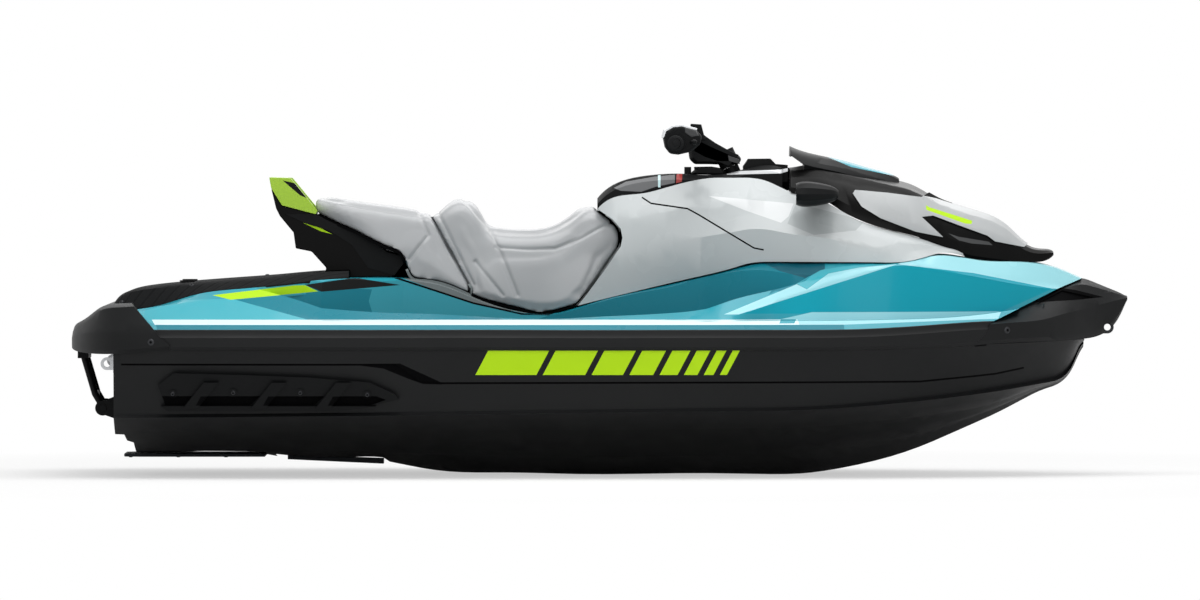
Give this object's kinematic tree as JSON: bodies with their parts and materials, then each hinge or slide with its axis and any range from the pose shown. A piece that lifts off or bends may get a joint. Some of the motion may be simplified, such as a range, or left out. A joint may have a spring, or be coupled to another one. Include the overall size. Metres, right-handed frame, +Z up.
{
  "type": "personal watercraft",
  "caption": "Personal watercraft for three: V hull, stepped seat with grab handle, tilted handlebar, lifting front lid, jet pump with steered nozzle and reverse gate, boarding ladder.",
  "frame": {"origin": "on the waterline plane, on the centreline, at half the overall length", "axes": "+X to the bow, +Y to port, +Z up"},
  "size_m": [3.322, 1.2496, 1.1067],
  "materials": {
    "hull_black": "moulded charcoal hull, satin",
    "deck_teal": "moulded in colour, glossy teal",
    "engine_metal": "cast, plain",
    "trim_black": "moulded black, fine grain",
    "steel": "stainless",
    "deck_mat": "foam mat, matt",
    "sponson_black": "moulded black",
    "seat_vinyl": "silver-grey coated fabric",
    "handle_lime": "moulded lime",
    "body_grey": "pale grey, glossy",
    "gauge_glass": "dark screen",
    "lanyard_red": "red",
    "bar_black": "black",
    "grip_rubber": "ribbed",
    "bin_black": "moulded",
    "control_black": "moulded",
    "pump_alloy": "cast",
    "gate_black": "moulded",
    "ladder_black": "coated tube"
  },
  "bodies": {
    "hull": {"hull": "hull_black", "deck": "deck_teal", "engine": "engine_metal", "rub_rails": "trim_black", "bow_cap": "trim_black", "bow_eye": "steel", "stern_bumper": "trim_black", "rear_platform": "deck_mat", "sponson_port": "sponson_black", "sponson_starboard": "sponson_black", "stern_eye_port": "steel", "stern_eye_starboard": "steel", "footwell_mats": "deck_mat", "front_seat": "seat_vinyl", "rear_seat": "seat_vinyl", "handle_support": "trim_black", "grab_handle": "handle_lime", "side_panel_port": "body_grey", "side_panel_starboard": "body_grey", "console": "trim_black", "gauge": "gauge_glass", "lanyard_post": "lanyard_red", "steering_neck": "trim_black", "front_bin": "bin_black", "fuel_cap": "trim_black", "pump_housing": "pump_alloy", "venturi": "pump_alloy", "ride_plate": "pump_alloy", "intake_grate": "pump_alloy", "ladder_bracket": "trim_black"},
    "handlebar": {"handlebar": "bar_black", "grips": "grip_rubber", "controls": "control_black"},
    "nozzle": {"steering_nozzle": "pump_alloy"},
    "gate": {"reverse_gate": "gate_black"},
    "impeller": {"impeller": "steel", "impeller_shaft": "steel"},
    "front_lid": {"front_lid": "trim_black", "hood_panels": "body_grey", "deflector": "trim_black", "mirror_port": "trim_black", "mirror_starboard": "trim_black"},
    "glovebox_lid": {"glovebox_lid": "trim_black"},
    "ladder": {"boarding_ladder": "ladder_black"}
  },
  "joints": [
    {"name": "steering", "type": "hinge", "parent": "hull", "child": "handlebar", "pos_m": [0.398, 0, 0.742], "axis": [-0.42, 0, 0.9075], "range_deg": [-20, 20]},
    {"name": "nozzle_turn", "type": "hinge", "parent": "hull", "child": "nozzle", "pos_m": [-1.351, 0, -0.092], "axis": [0, 0, 1], "range_deg": [-20, 20]},
    {"name": "gate_drop", "type": "hinge", "parent": "hull", "child": "gate", "pos_m": [-1.324, 0, -0.092], "axis": [0, -1, 0], "range_deg": [0, 57]},
    {"name": "impeller_spin", "type": "hinge", "parent": "hull", "child": "impeller", "pos_m": [-1.13, 0, -0.092], "axis": [1, 0, 0], "continuous": true},
    {"name": "front_lid_lift", "type": "hinge", "parent": "hull", "child": "front_lid", "pos_m": [0.606, 0, 0.722], "axis": [0, -1, 0], "range_deg": [0, 50]},
    {"name": "glovebox_lid_lift", "type": "hinge", "parent": "hull", "child": "glovebox_lid", "pos_m": [0.241, 0, 0.694], "axis": [0, 1, 0], "range_deg": [0, 80]},
    {"name": "ladder_drop", "type": "hinge", "parent": "hull", "child": "ladder", "pos_m": [-1.566, 0, -0.044], "axis": [0, -1, 0], "range_deg": [0, 150]}
  ],
  "couplings": [
    {"joint": "nozzle_turn", "follows": "steering", "ratio": -1}
  ]
}
